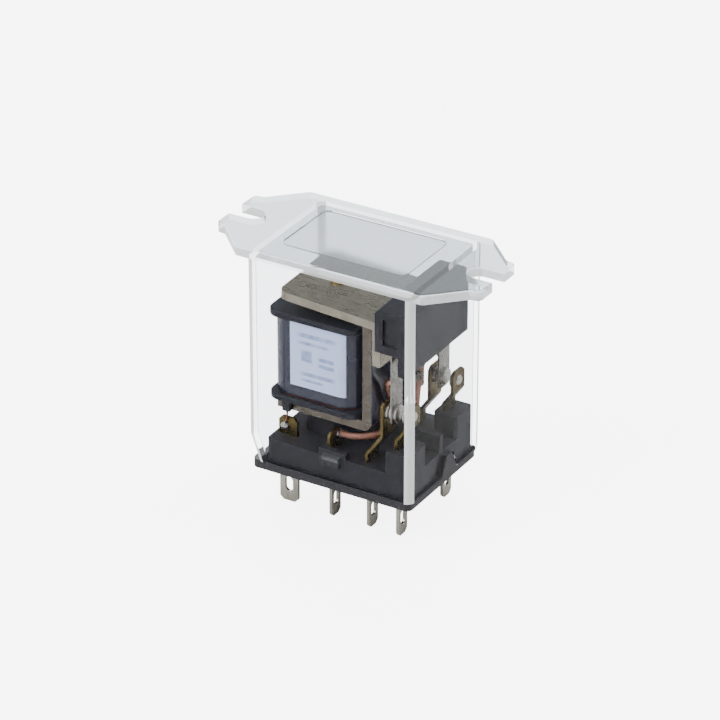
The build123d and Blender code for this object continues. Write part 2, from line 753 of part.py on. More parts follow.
with BuildPart() as armature:
    with BuildSketch(Plane.XZ) as armature_profile:
        plate_top_x, plate_top_z = plate_point(0, armature_thickness)
        with BuildLine():
            Polyline(
                (arm_x, under_z - arm_gap * math.tan(tilt)),
                plate_point(armature_reach, 0),
                plate_point(armature_reach, armature_thickness),
                (block_x, plate_top_z - (block_x - plate_top_x) * math.tan(tilt)),
                (block_x, hinge_z - arm_drop),
                (arm_x, hinge_z - arm_drop),
                close=True,
            )
        make_face()
        outer_bend = armature_profile.vertices().group_by(Axis.X)[-1].sort_by(Axis.Y)[-1]
        fillet(outer_bend, radius=arm_bend)
    extrude(amount=armature_width / 2, both=True)
    plate_end = armature.faces().sort_by(Axis.X)[0]
    corners = plate_end.edges().filter_by(lambda e: abs(e.tangent_at(0.5).Y) < 0.1)
    fillet(corners, radius=plate_corner)
    # the spring tongue is cut out of the arm below it and left standing straight out
    with BuildSketch(Plane.YZ.offset(arm_x)):
        with Locations((0, tail_z - arm_drop / 2)):
            Rectangle(arm_slot_width, arm_drop)
    extrude(amount=armature_thickness, mode=Mode.SUBTRACT)
    with BuildSketch(Plane.XY.offset(tail_z)):
        tail_length = hinge_x + tail_reach - arm_x
        with Locations((arm_x + tail_length / 2, 0)):
            Rectangle(tail_length, tail_width)
        with Locations((spring_x, 0)):
            Circle(spring_hole / 2, mode=Mode.SUBTRACT)
    extrude(amount=tail_thickness)
    with BuildSketch(Plane.YZ.offset(arm_x)):
        with Locations(*rivet_places):
            Circle(rivet_diameter / 2)
    extrude(amount=armature_thickness, mode=Mode.SUBTRACT)
    with BuildSketch(Plane.YZ.offset(arm_x)):
        with Locations(*rivet_places):
            Circle(rivet_head / 2)
    extrude(amount=rivet_head_height, mode=Mode.SUBTRACT)
    with BuildSketch(pin_plane):
        Circle(residual_pin_diameter / 2)
    extrude(amount=2 * armature_thickness, mode=Mode.SUBTRACT)
save(armature.part, "armature")

# ---------------------------------------------------------------- residual pin
# A soft pin through the plate that keeps the closed armature off the pole.
with BuildPart() as residual_pin:
    with BuildSketch(pin_plane):
        Circle(residual_pin_diameter / 2)
    extrude(amount=residual_pin_proud + armature_thickness)
    with BuildSketch(pin_plane.offset(residual_pin_proud + armature_thickness)):
        Circle(residual_pin_head / 2)
    extrude(amount=residual_pin_head_height)
    fillet(residual_pin.edges().group_by(Axis.Z)[-1], radius=residual_pin_head_height / 2)
save(residual_pin.part, "residual_pin")

# ---------------------------------------------------------------- contact block
# The moulded block on the arm that carries both leaves. Its skirt hangs outside the contacts.
block_outer_x = block_x + block_depth
block_base_z = hinge_z - block_drop
block_top_z = hinge_z + block_rise
skirt_base_z = hinge_z - skirt_drop

with BuildPart() as contact_block:
    with BuildSketch(Plane.XZ):
        with BuildLine():
            Polyline(
                (block_x, block_base_z),
                (block_outer_x - skirt_thickness, block_base_z),
                (block_outer_x - skirt_thickness, skirt_base_z),
                (block_outer_x, skirt_base_z),
                (block_outer_x, block_top_z),
                (block_x, block_top_z),
                close=True,
            )
        make_face()
    extrude(amount=block_width / 2, both=True)
    fillet(contact_block.edges().filter_by(Axis.Y).group_by(Axis.Z)[-1], radius=block_round)
    with BuildSketch(Plane.XY.offset(block_base_z)):
        with Locations((block_x + block_pocket_depth / 2, 0)):
            Rectangle(block_pocket_depth, block_pocket_width)
    extrude(amount=block_drop + block_pocket_rise, mode=Mode.SUBTRACT)
    for side in sides.values():
        with BuildSketch(Plane.XY.offset(block_base_z)):
            with Locations((leaf_x + leaf_thickness / 2, side * column_offset)):
                Rectangle(leaf_thickness, leaf_width)
        extrude(amount=leaf_grip, mode=Mode.SUBTRACT)
        with BuildSketch(Plane.XZ.offset(-side * (block_width / 2 - end_recess_depth))):
            with Locations((block_x + block_depth / 2, (block_base_z + block_top_z) / 2)):
                Rectangle(end_recess_length, end_recess_height)
        extrude(amount=-side * end_recess_depth, mode=Mode.SUBTRACT)
    with BuildSketch(Plane.YZ.offset(block_x)):
        with Locations(*rivet_places):
            Circle(rivet_diameter / 2)
    extrude(amount=rivet_bite, mode=Mode.SUBTRACT)
save(contact_block.part, "contact_block")

# each rivet has a flush head in the arm's inner face and a shank that is moulded into the block
with BuildPart() as block_rivets:
    with BuildSketch(Plane.YZ.offset(arm_x)):
        with Locations(*rivet_places):
            Circle(rivet_diameter / 2)
    extrude(amount=armature_thickness + rivet_bite)
    with BuildSketch(Plane.YZ.offset(arm_x)):
        with Locations(*rivet_places):
            Circle(rivet_head / 2)
    extrude(amount=rivet_head_height)
save(block_rivets.part, "block_rivets")

# ---------------------------------------------------------------- moving leaves
leaf_base_z = contact_z - leaf_tail
for name, side in sides.items():
    side_y = side * column_offset
    with BuildPart() as leaf:
        with BuildSketch(Plane.YZ.offset(leaf_x)):
            leaf_height = block_base_z + leaf_grip - leaf_base_z
            with Locations((side_y, leaf_base_z + leaf_height / 2)):
                Rectangle(leaf_width, leaf_height)
        extrude(amount=leaf_thickness)
        fillet(leaf.edges().filter_by(Axis.X).group_by(Axis.Z)[0], radius=leaf_width / 3)
        with BuildSketch(Plane.YZ.offset(leaf_x)):
            with Locations((side_y, contact_z)):
                Circle(contact_shank / 2)
        extrude(amount=leaf_thickness, mode=Mode.SUBTRACT)
    save(leaf.part, f"moving_spring_{name}")

# ---------------------------------------------------------------- return spring
# A small coil pulls the armature's tongue down to the yoke's tab. It stands here as its outer shape.
with BuildPart() as return_spring:
    with BuildSketch(Plane.XY.offset(spring_tab_z + spring_end_gap)):
        with Locations((spring_x, 0)):
            Circle((spring_diameter + spring_wire) / 2)
            Circle((spring_diameter - spring_wire) / 2, mode=Mode.SUBTRACT)
    extrude(amount=tail_z - spring_tab_z - 2 * spring_end_gap)
save(return_spring.part, "return_spring")


# ---------------------------------------------------------------- wires
def bend_radii(points):
    """For each corner of a route, the largest arc that its two runs leave room for."""
    radii = []
    for before, corner, after in zip(points, points[1:], points[2:]):
        run_in = Vector(*corner) - Vector(*before)
        run_out = Vector(*after) - Vector(*corner)
        half_turn = math.radians(run_in.get_angle(run_out)) / 2
        radii.append(lead_bend_share * min(run_in.length, run_out.length) / math.tan(half_turn))
    return radii


def wire(points, diameter):
    """A round wire along straight runs joined by tangent arcs."""
    with BuildPart() as round_wire:
        with BuildLine() as route:
            FilletPolyline(*points, radius=bend_radii(points))
        with BuildSketch(Plane(origin=route.line @ 0, z_dir=route.line % 0)):
            Circle(diameter / 2)
        sweep()
    return round_wire.part


for name, side in sides.items():
    # the lead runs from the leaf's inner face down between the poles and under the yoke's foot
    leaf_end = (leaf_x - lead_gap, side * (column_offset - lead_leaf_inset), base_z + lead_leaf_height)
    blade_end = (
        com_blade_x + blade_thickness / 2 + lead_gap,
        side * (column_offset - lead_blade_inset),
        base_z + lead_blade_height,
    )
    way = [(hinge_x + x, side * (column_offset - y), base_z + z) for x, y, z in lead_way]
    lead_points = [leaf_end, *way, blade_end]
    print(f"lead_{name} radii", [round(r, 2) for r in bend_radii(lead_points)])
    save(wire(lead_points, lead_diameter), f"lead_{name}")

    # the winding's end leaves the lug under the bobbin and is soldered to the coil blade
    blade_face_y = column_offset + blade_thickness / 2 + coil_wire_diameter / 2
    wire_points = [
        (wire_lug_x, side * wire_lug_y, bobbin_z - wire_lug_height),
        (wire_lug_x, side * wire_lug_y, solder_z + solder_diameter),
        (wire_lug_x - solder_diameter / 2, side * blade_face_y, solder_z + solder_diameter / 2),
    ]
    save(wire(wire_points, coil_wire_diameter), f"coil_wire_{name}")

    with BuildPart() as coil_solder:
        with BuildSketch(Plane.XZ.offset(-side * (column_offset + blade_thickness / 2))):
            with Locations((wire_lug_x - solder_diameter / 2, solder_z)):
                Circle(solder_diameter / 2)
        extrude(amount=-side * solder_height)
        crown = coil_solder.edges().sort_by(lambda e: side * e.center().Y)[-1]
        fillet(crown, radius=solder_height / 2)
    save(coil_solder.part, f"coil_solder_{name}")
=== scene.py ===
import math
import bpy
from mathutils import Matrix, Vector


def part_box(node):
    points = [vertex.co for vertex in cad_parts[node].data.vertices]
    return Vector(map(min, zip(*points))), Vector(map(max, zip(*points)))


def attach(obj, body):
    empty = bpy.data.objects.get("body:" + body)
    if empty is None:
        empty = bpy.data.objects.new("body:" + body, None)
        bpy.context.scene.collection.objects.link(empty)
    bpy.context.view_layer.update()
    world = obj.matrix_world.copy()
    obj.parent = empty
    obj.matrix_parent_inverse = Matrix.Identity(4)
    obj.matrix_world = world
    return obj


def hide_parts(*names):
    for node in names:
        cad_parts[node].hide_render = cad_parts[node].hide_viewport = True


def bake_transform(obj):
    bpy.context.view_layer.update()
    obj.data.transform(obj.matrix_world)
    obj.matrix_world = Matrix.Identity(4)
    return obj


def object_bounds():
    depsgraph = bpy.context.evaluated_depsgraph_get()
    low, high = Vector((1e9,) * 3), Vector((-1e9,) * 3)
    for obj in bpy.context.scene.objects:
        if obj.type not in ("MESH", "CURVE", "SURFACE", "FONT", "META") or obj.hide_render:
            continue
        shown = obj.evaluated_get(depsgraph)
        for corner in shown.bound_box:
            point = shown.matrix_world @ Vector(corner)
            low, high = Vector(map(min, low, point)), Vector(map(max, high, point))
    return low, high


bl_info = {
    "name": "Plug-in relay",
    "version": (1, 0, 0),
    "blender": (4, 5, 0),
    "location": "View3D > Sidebar > Relay",
    "description": "Finishes a clear-cover changeover relay round its fixed mechanical model",
    "category": "Object",
}

import bmesh
import bpy
from bpy.props import FloatProperty, FloatVectorProperty, IntProperty, PointerProperty, StringProperty
from mathutils import Matrix, Quaternion, Vector

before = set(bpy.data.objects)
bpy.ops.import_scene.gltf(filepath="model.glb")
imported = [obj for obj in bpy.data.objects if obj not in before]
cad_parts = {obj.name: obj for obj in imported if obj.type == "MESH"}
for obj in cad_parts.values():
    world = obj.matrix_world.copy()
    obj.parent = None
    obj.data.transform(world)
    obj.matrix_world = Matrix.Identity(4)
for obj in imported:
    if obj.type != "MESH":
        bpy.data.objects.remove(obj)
cad_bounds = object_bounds()

MM = 0.001
# which way along Y each pole of the relay lies
SIDES = {"front": -1, "back": 1}
# corners of the mechanical meshes, and of the bevels made on them, that are nearer than this are one corner
CORNER_GAP = 0.5 * MM / 1000
BEVEL_GAP = 0.2 * MM / 1000
# faces that turn by less than the first lie in one flat face, and a fold over the second is an edge
FLAT_ANGLE = math.radians(0.6)
EDGE_ANGLE = math.radians(32)
# depth in millimetres of the fine grain on plastic, plate and paper
GRAIN_DEPTH = 0.004
# a wave texture draws this many bands in one turn of its scale
WAVE_BANDS = 20 / (2 * math.pi)


# ---------------------------------------------------------------- settings a user would change
class RelayColours(bpy.types.PropertyGroup):
    """Surface colours, as sRGB hex values."""

    cover: StringProperty(name="Cover", description="Tint of the clear plastic", default="e6e7ea")
    # grey painted on the cover's flange and sunk panel: painted shade for how the flange looks seen through
    # its width
    flange_shade_grey: StringProperty(name="Flange painted shade", description="Grey of the flange, which the light crosses twice",
                         default="9ba2a6")
    # near white painted on the cover's upright corners and flange sides: painted light for the light they
    # pipe and gather
    painted_light_white: StringProperty(name="Corner painted light", description="Corners that pipe the light", default="f3f6f7")
    moulding: StringProperty(name="Mouldings", description="Black of base and block", default="232227")
    bobbin: StringProperty(name="Bobbin", description="Dark glass-filled nylon", default="1e1f25")
    tape: StringProperty(name="Coil tape", description="Dark polyester film", default="14162a")
    label: StringProperty(name="Label", description="Pale blue coil label", default="c6d3f5")
    label_end: StringProperty(name="Label end", description="Lavender that the label turns to",
                              default="bdbdf0")
    label_ink: StringProperty(name="Label ink", description="Marks on the label", default="7d8fb8")
    iron: StringProperty(name="Armature iron", description="Warm nickel plate", default="b3aa98")
    # darker than the armature's nickel: painted shade for the yoke and core, which sit in shade under the
    # coil
    yoke: StringProperty(name="Yoke iron", description="Duller plate on yoke and core", default="7b7368")
    blade: StringProperty(name="Blades", description="Tin plate on brass", default="b3b0a6")
    strip: StringProperty(name="Strips", description="Bare brass above the base", default="75663f")
    leaf: StringProperty(name="Leaves", description="Nickel silver spring strip", default="a9a59c")
    braid: StringProperty(name="Leads", description="Bare copper strands", default="d09a86")
    zinc: StringProperty(name="Zinc", description="Plate on the screw and the spring", default="b7babd")
    brass: StringProperty(name="Brass", description="Turned rivets and pin", default="b9a06a")
    silver: StringProperty(name="Contacts", description="Silver alloy rivets", default="d9d7d1")
    solder: StringProperty(name="Solder", description="Solder beads and weld pads", default="d6cdcb")
    ring: StringProperty(name="Shading ring", description="Pressed copper", default="b5714f")
    enamel: StringProperty(name="Winding", description="Enamelled copper on a turn", default="a35a38")
    enamel_gap: StringProperty(name="Winding gap", description="Enamelled copper between turns",
                               default="6e2f1a")
    floor: StringProperty(name="Floor", description="Pale studio floor", default="bcbcba")


class RelaySizes(bpy.types.PropertyGroup):
    """Sizes of the pieces and finishes that are made here."""

    edge_round: FloatProperty(name="Moulded edge", description="Rounding of moulded edges",
                              default=0.12 * MM, unit="LENGTH", min=0)
    cover_edge_round: FloatProperty(name="Cover edge", description="Rounding of the clear cover's edges",
                                    default=0.16 * MM, unit="LENGTH", min=0)
    flange_thickness: FloatProperty(name="Flange", description="Thickness of the cover's top flange",
                                    default=1.6 * MM, unit="LENGTH", min=0)
    panel_depth: FloatProperty(name="Panel depth", description="How far the cover's top panel is sunk",
                               default=0.3 * MM, unit="LENGTH", min=0)
    metal_edge_round: FloatProperty(name="Stamped edge", description="Rounding of stamped metal edges",
                                    default=0.05 * MM, unit="LENGTH", min=0)
    spring_wire: FloatProperty(name="Spring wire", description="Diameter of the return spring's wire",
                               default=0.3 * MM, unit="LENGTH", min=0)
    spring_turns: IntProperty(name="Spring turns", description="Turns in the return spring",
                              default=13, min=2)
    lead_diameter: FloatProperty(name="Lead diameter", description="Over the strands",
                                 default=1.1 * MM, unit="LENGTH", min=0)
    lead_strands: IntProperty(name="Lead strands", description="Strands round each flexible lead",
                              default=8, min=3)
    lead_lay: FloatProperty(name="Lay length", description="Length of lead for one turn of a strand",
                            default=3.6 * MM, unit="LENGTH", min=0)


class RelayStage(bpy.types.PropertyGroup):
    """Where the camera and the lights stand."""

    azimuth: FloatProperty(name="Azimuth", description="Camera's turn from front to contact end",
                           default=math.radians(30.68), subtype="ANGLE")
    elevation: FloatProperty(name="Elevation", description="Camera's height above the horizon",
                             default=math.radians(28.22), subtype="ANGLE")
    distance: FloatProperty(name="Distance", description="Camera to the aim point",
                            default=0.582, unit="LENGTH")
    lens: FloatProperty(name="Lens", description="Focal length in millimetres", default=196.9)
    sensor: FloatProperty(name="Sensor", description="Width of the sensor in millimetres", default=36.0)
    aim: FloatVectorProperty(name="Aim", description="Aim point from the middle of the object",
                             default=(-0.0005, -0.0005, 0.002), subtype="TRANSLATION", unit="LENGTH")
    key_power: FloatProperty(name="Key light", description="Power of the large front light", default=10.0)
    rim_power: FloatProperty(name="Rim light", description="Power of the light past the contact end",
                             default=4.0)
    top_power: FloatProperty(name="Top light", description="Power of the overhead light", default=6.0)
    back_power: FloatProperty(name="Back light", description="Power of the light that the top mirrors",
                              default=8.0)
    sky: FloatProperty(name="Surround", description="Brightness of the white surround", default=0.65)
    board_glow: FloatProperty(name="Board glow", description="How far the white board outshines the object",
                              default=6.0)


# ---------------------------------------------------------------- small tools
def linear(hex_colour):
    """An sRGB hex value as linear red, green, blue and alpha."""
    channels = [int(hex_colour[i:i + 2], 16) / 255 for i in (0, 2, 4)]
    return tuple(c / 12.92 if c <= 0.04045 else ((c + 0.055) / 1.055) ** 2.4 for c in channels) + (1.0,)


def per_mm(size):
    """The texture scale, in turns per metre, that gives a pattern features of this many millimetres."""
    return 1 / (size * MM)


def add_node(tree, kind, settings=None, links=None):
    """Adds a node, sets its attributes or inputs by name, and links sockets to its inputs."""
    node = tree.nodes.new(kind)
    for key, value in (settings or {}).items():
        if isinstance(key, str) and hasattr(node, key):
            setattr(node, key, value)
        else:
            node.inputs[key].default_value = value
    for key, socket in (links or {}).items():
        tree.links.new(socket, node.inputs[key])
    return node


def new_material(name, settings):
    """A material with one Principled shader, and its node tree and shader."""
    material = bpy.data.materials.new(name)
    material.use_nodes = True
    tree = material.node_tree
    tree.nodes.clear()
    shader = add_node(tree, "ShaderNodeBsdfPrincipled", settings)
    add_node(tree, "ShaderNodeOutputMaterial", links={"Surface": shader.outputs["BSDF"]})
    return material, tree, shader


def object_place(tree, stretch=(1, 1, 1)):
    """The place on the piece in metres, with each axis scaled to stretch a pattern."""
    place = add_node(tree, "ShaderNodeTexCoord")
    return add_node(tree, "ShaderNodeMapping", {"Scale": stretch},
                    {"Vector": place.outputs["Object"]}).outputs["Vector"]


def noise(tree, place, size, detail=3.0):
    """Noise with features of a size in millimetres."""
    return add_node(tree, "ShaderNodeTexNoise", {"Scale": per_mm(size), "Detail": detail},
                    {"Vector": place}).outputs["Fac"]


def ramp(tree, factor, low, high, start=0.0, end=1.0):
    """Maps a factor between start and end to a range of numbers."""
    return add_node(tree, "ShaderNodeMapRange",
                    {"From Min": start, "From Max": end, "To Min": low, "To Max": high},
                    {"Value": factor}).outputs["Result"]


def blend_colours(tree, factor, first, second):
    """Mixes two hex colours, or sockets, by a factor socket."""
    mix = add_node(tree, "ShaderNodeMix", {"data_type": "RGBA"}, {"Factor": factor})
    # a mix node's colour sockets share their names with its others, so they are taken by number
    for socket, colour in ((mix.inputs[6], first), (mix.inputs[7], second)):
        if isinstance(colour, str):
            socket.default_value = linear(colour)
        else:
            tree.links.new(colour, socket)
    return mix.outputs[2]


def bump(tree, shader, height, depth, strength=1.0):
    """Gives the shader a bump from a height socket, depth in millimetres."""
    node = add_node(tree, "ShaderNodeBump", {"Strength": strength, "Distance": depth * MM},
                    {"Height": height})
    tree.links.new(node.outputs["Normal"], shader.inputs["Normal"])


def shade(hex_colour, factor):
    """The same hue, lighter or darker."""
    channels = [min(255, round(int(hex_colour[i:i + 2], 16) * factor)) for i in (0, 2, 4)]
    return "".join(f"{c:02x}" for c in channels)


def colours():
    """The surface colours as the user has set them."""
    return bpy.context.scene.relay_colours


def sizes():
    """The sizes as the user has set them."""
    return bpy.context.scene.relay_sizes


def put_piece(name, mesh, material, body, replaced=()):
    """Links a finished mesh as a piece that moves with a body and stands for its mechanical nodes."""
    mesh.name = name
    mesh.materials.clear()
    mesh.materials.append(material)
    piece = bpy.data.objects.new(name, mesh)
    bpy.context.scene.collection.objects.link(piece)
    if body:
        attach(piece, body)
    if replaced:
        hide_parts(*replaced)
    return piece


def mesh_from(bm, smooth_angle=35):
    """Turns a bmesh into a mesh with smooth faces between its sharp edges."""
    bmesh.ops.recalc_face_normals(bm, faces=bm.faces)
    for face in bm.faces:
        face.smooth = True
    mesh = bpy.data.meshes.new("mesh")
    bm.to_mesh(mesh)
    bm.free()
    mesh.set_sharp_from_angle(angle=math.radians(smooth_angle))
    return mesh


def edges_in(geometry):
    """The edges among the faces, edges and corners that a mesh operator returns."""
    return [part for part in geometry if isinstance(part, bmesh.types.BMEdge)]


def cut_flat(bm, place, away):
    """Cuts off what lies past a plane, on the side that away points to, and closes the cut."""
    cut = bmesh.ops.bisect_plane(bm, geom=bm.verts[:] + bm.edges[:] + bm.faces[:], plane_co=place,
                                 plane_no=away, clear_outer=True)
    bmesh.ops.contextual_create(bm, geom=edges_in(cut["geom_cut"]))


def finished_copy(node, name, material, body, edge, segments=2, inner=True):
    """A joined copy of a mechanical node with its sharp edges broken, as a tool or a mould leaves them.

    Its inner corners are rounded too, unless inner is false.
    """
    bm = bmesh.new()
    bm.from_mesh(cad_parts[node].data)
    bmesh.ops.remove_doubles(bm, verts=bm.verts, dist=CORNER_GAP)
    bmesh.ops.dissolve_limit(bm, angle_limit=FLAT_ANGLE, verts=bm.verts, edges=bm.edges)
    corners = [e for e in bm.edges if e.is_manifold and e.calc_face_angle() > EDGE_ANGLE
               and (inner or e.is_convex)]
    if edge > 0:
        bmesh.ops.bevel(bm, geom=corners, offset=edge, offset_type="OFFSET", affect="EDGES",
                        segments=segments, profile=0.5, clamp_overlap=True, material=-1)
        bmesh.ops.remove_doubles(bm, verts=bm.verts, dist=BEVEL_GAP)
    piece = put_piece(name, mesh_from(bm, 40), material, body, (node,))
    flats = piece.modifiers.new("flat faces", "WEIGHTED_NORMAL")
    flats.keep_sharp = True
    return piece


# ---------------------------------------------------------------- materials
def polycarbonate(name, hex_colour, clearness, roughness):
    """Polycarbonate, injection moulded: glossy, with slow waves, and lamps shine straight through it.

    The index is low, because such thin walls hardly bend light, and the specular level gives back
    some gloss.
    """
    material, tree, shader = new_material(name, {
        "Base Color": linear(hex_colour), "Transmission Weight": clearness, "Roughness": roughness,
        "IOR": 1.1, "Specular IOR Level": 1.0})
    bump(tree, shader, noise(tree, object_place(tree), 9.0, 1.0), 0.03, 0.5)
    path = add_node(tree, "ShaderNodeLightPath")
    through = add_node(tree, "ShaderNodeBsdfTransparent", {"Color": linear("f2f4f5")})
    mix = add_node(tree, "ShaderNodeMixShader", links={
        0: path.outputs["Is Shadow Ray"], 1: shader.outputs["BSDF"], 2: through.outputs["BSDF"]})
    output = next(n for n in tree.nodes if n.type == "OUTPUT_MATERIAL")
    tree.links.new(mix.outputs["Shader"], output.inputs["Surface"])
    return material


def cover_finishes():
    """The cover's finishes: of its walls, its corners, its flange, the flange's sides and the panel.

    The walls are water clear. The upright corners are painted white: painted light for the light that they
    pipe along the mould's parting lines. The flange is painted grey: painted shade for its look when seen
    through its whole width, and its sides are painted pale: painted light for the light they gather. The
    sunk panel on top comes from a spark-eroded patch of the mould, so it is frosted; it takes the flange's
    painted grey.
    """
    return {
        "walls": polycarbonate("polycarbonate_clear_moulded", colours().cover, 1.0, 0.0),
        # painted light: the corners are near white and mostly opaque, so the lamps light them
        "corners": polycarbonate("polycarbonate_corner_painted_light", colours().painted_light_white, 0.25, 0.12),
        # painted shade: the flange is grey where the clear plastic would be seen through its width
        "flange": polycarbonate("polycarbonate_flange_painted_shade", colours().flange_shade_grey, 0.85, 0.06),
        # painted light: the flange's sides are pale and half opaque
        "sides": polycarbonate("polycarbonate_side_painted_light", colours().painted_light_white, 0.6, 0.3),
        # the panel is frosted, and grey with the flange's painted shade
        "panel": polycarbonate("polycarbonate_frosted_panel_painted_shade", colours().flange_shade_grey, 0.7, 0.3),
    }


def moulded(name, hex_colour, gloss, grain, speckle=1.5):
    """Filled thermoset or nylon, moulded: satin, with filler specks and a soft flow pattern.

    The specks are drawn several times as coarse as the filler, so that they show.
    """
    material, tree, shader = new_material(name, {
        "IOR": 1.52, "Roughness": gloss, "Specular IOR Level": 0.3})
    place = object_place(tree)
    flow = noise(tree, place, 3.5, 4.0)
    specks = ramp(tree, noise(tree, place, grain, 1.0), 0.0, 1.0, 0.55, 0.75)
    base = blend_colours(tree, flow, shade(hex_colour, 0.85), shade(hex_colour, 1.15))
    speckled = blend_colours(tree, specks, base, shade(hex_colour, speckle))
    tree.links.new(speckled, shader.inputs["Base Color"])
    tree.links.new(ramp(tree, flow, gloss - 0.06, gloss + 0.1), shader.inputs["Roughness"])
    bump(tree, shader, noise(tree, place, 2 * grain, 1.0), GRAIN_DEPTH, 0.5)
    return material


def plated_metal(name, hex_colour, gloss, lay, grain=0.3, mottle=1.6, tarnish=0.86):
    """Plated strip or plate: a rolled grain along lay under the plating, cloudy where it has tarnished.

    The grain is drawn coarser than it is, so that it shows.
    """
    material, tree, shader = new_material(name, {"Metallic": 1.0, "Roughness": gloss})
    rolled = noise(tree, object_place(tree, lay), grain, 1.5)
    clouds = noise(tree, object_place(tree), mottle, 4.0)
    tarnished = ramp(tree, clouds, 0, 1, 0.35, 0.7)
    cloudy = blend_colours(tree, tarnished, hex_colour, shade(hex_colour, tarnish))
    ridges = ramp(tree, rolled, 0, 0.5, 0.3, 0.8)
    colour = blend_colours(tree, ridges, cloudy, shade(hex_colour, 1.08))
    tree.links.new(colour, shader.inputs["Base Color"])
    both = add_node(tree, "ShaderNodeMath", {"operation": "MULTIPLY"}, {0: rolled, 1: clouds})
    dulled = ramp(tree, both.outputs[0], gloss - 0.08, gloss + 0.16, 0.1, 0.5)
    tree.links.new(dulled, shader.inputs["Roughness"])
    bump(tree, shader, rolled, GRAIN_DEPTH, 0.25)
    return material


def tin_plated_blade():
    """Rolled brass strip, tinned on the blades: pale and soft below the base, old gold above it."""
    material = plated_metal("brass_strip_part_tinned", colours().blade, 0.3, (1, 1, 0.08))
    tree = material.node_tree
    shader = next(n for n in tree.nodes if n.type == "BSDF_PRINCIPLED")
    tinned = shader.inputs["Base Color"].links[0].from_socket
    place = object_place(tree)
    height = add_node(tree, "ShaderNodeSeparateXYZ", links={"Vector": place}).outputs["Z"]
    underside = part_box("base")[0][2]
    # the tin fades out inside the base
    bare = ramp(tree, height, 0, 1, underside + 1 * MM, underside + 4 * MM)
    strip = colours().strip
    gold = blend_colours(tree, noise(tree, place, 1.8, 3.0), shade(strip, 0.8), shade(strip, 1.15))
    tree.links.new(blend_colours(tree, bare, tinned, gold), shader.inputs["Base Color"])
    return material


def nickel_plated_iron(name, hex_colour):
    """Soft iron with a warm nickel plate: smooth, slightly cloudy, with the grain across the bend."""
    return plated_metal(name, hex_colour, 0.3, (0.12, 1, 0.12), mottle=2.4)


def nickel_silver_leaf():
    """Nickel silver spring strip, rolled thin and bright."""
    return plated_metal("nickel_silver_rolled", colours().leaf, 0.24, (1, 1, 0.1), grain=0.25)


def zinc_steel():
    """Steel with bright zinc plate, as on screws and drawn wire."""
    return plated_metal("steel_zinc_plated", colours().zinc, 0.26, (1, 1, 1))


def brass():
    """Turned brass, a little dulled."""
    return plated_metal("brass_turned", colours().brass, 0.28, (1, 1, 1))


def silver_contact():
    """Silver alloy contact, headed cold: white, with a soft sheen."""
    return plated_metal("silver_alloy_headed", colours().silver, 0.3, (1, 1, 1), grain=0.25, tarnish=0.92)


def copper_enamelled():
    """Enamelled copper wire, wound: red-brown under a clear varnish, with its turns as rings."""
    material, tree, shader = new_material("copper_wire_enamelled", {
        "Metallic": 1.0, "Roughness": 0.3, "Coat Weight": 0.6, "Coat Roughness": 0.12})
    # the wire is 0.12 mm thick, and its turns are drawn as rings 1.508 mm apart, so that they show
    turns = add_node(tree, "ShaderNodeTexWave", {
        "wave_type": "BANDS", "bands_direction": "Z", "Scale": per_mm(1.508 * WAVE_BANDS),
        "Distortion": 0.4, "Detail": 1.0}, {"Vector": object_place(tree)}).outputs["Fac"]
    tree.links.new(blend_colours(tree, turns, colours().enamel_gap, colours().enamel),
                   shader.inputs["Base Color"])
    bump(tree, shader, turns, 0.03, 0.8)
    return material


def copper_shading():
    """Bare copper ring, pressed in and slightly oxidised."""
    return plated_metal("copper_ring_pressed", colours().ring, 0.32, (1, 1, 1))


def polyester_tape():
    """Polyester film tape, wound on: dark, glossy, with long soft wrinkles round the coil."""
    hex_colour = colours().tape
    material, tree, shader = new_material("polyester_film_wound", {
        "IOR": 1.6, "Roughness": 0.2, "Coat Weight": 0.5, "Coat Roughness": 0.08})
    wrinkles = noise(tree, object_place(tree, (0.25, 0.25, 1.0)), 2.2, 1.0)
    clouds = noise(tree, object_place(tree), 4.0, 2.0)
    tree.links.new(blend_colours(tree, clouds, shade(hex_colour, 0.75), shade(hex_colour, 1.35)),
                   shader.inputs["Base Color"])
    tree.links.new(ramp(tree, wrinkles, 0.14, 0.34), shader.inputs["Roughness"])
    bump(tree, shader, wrinkles, 0.06, 0.7)
    return material


def solder_tin():
    """Tin solder, flowed and set: bright with a frosted skin."""
    return plated_metal("tin_solder_flowed", colours().solder, 0.22, (1, 1, 1), grain=0.35, mottle=0.9,
                        tarnish=0.9)


def copper_strands():
    """Bare copper strands: pinkish, each strand catching its own line of light."""
    return plated_metal("copper_strands_bare", colours().braid, 0.34, (1, 1, 1), grain=0.2, mottle=1.2,
                        tarnish=0.82)


# centre and half size of each printed bar, as shares of the label's width and height
LABEL_BARS = [
    ((0.5, 0.82), (0.34, 0.035)),
    ((0.42, 0.7), (0.26, 0.025)),
    ((0.3, 0.5), (0.1, 0.09)),
    ((0.66, 0.5), (0.14, 0.03)),
    ((0.66, 0.4), (0.14, 0.03)),
    ((0.5, 0.22), (0.3, 0.03)),
    ((0.4, 0.12), (0.2, 0.02)),
]


def label_bar(tree, across, up, centre, half):
    """One where a printed bar lies on the label, fading to nothing at its soft edges."""
    sides = []
    for socket, middle, reach in ((across, centre[0], half[0]), (up, centre[1], half[1])):
        away = add_node(tree, "ShaderNodeMath", {"operation": "SUBTRACT", 1: middle}, {0: socket})
        size = add_node(tree, "ShaderNodeMath", {"operation": "ABSOLUTE"}, {0: away.outputs[0]})
        sides.append(ramp(tree, size.outputs[0], 1, 0, reach * 0.8, reach * 1.15))
    both = add_node(tree, "ShaderNodeMath", {"operation": "MULTIPLY"}, {0: sides[0], 1: sides[1]})
    return both.outputs[0]


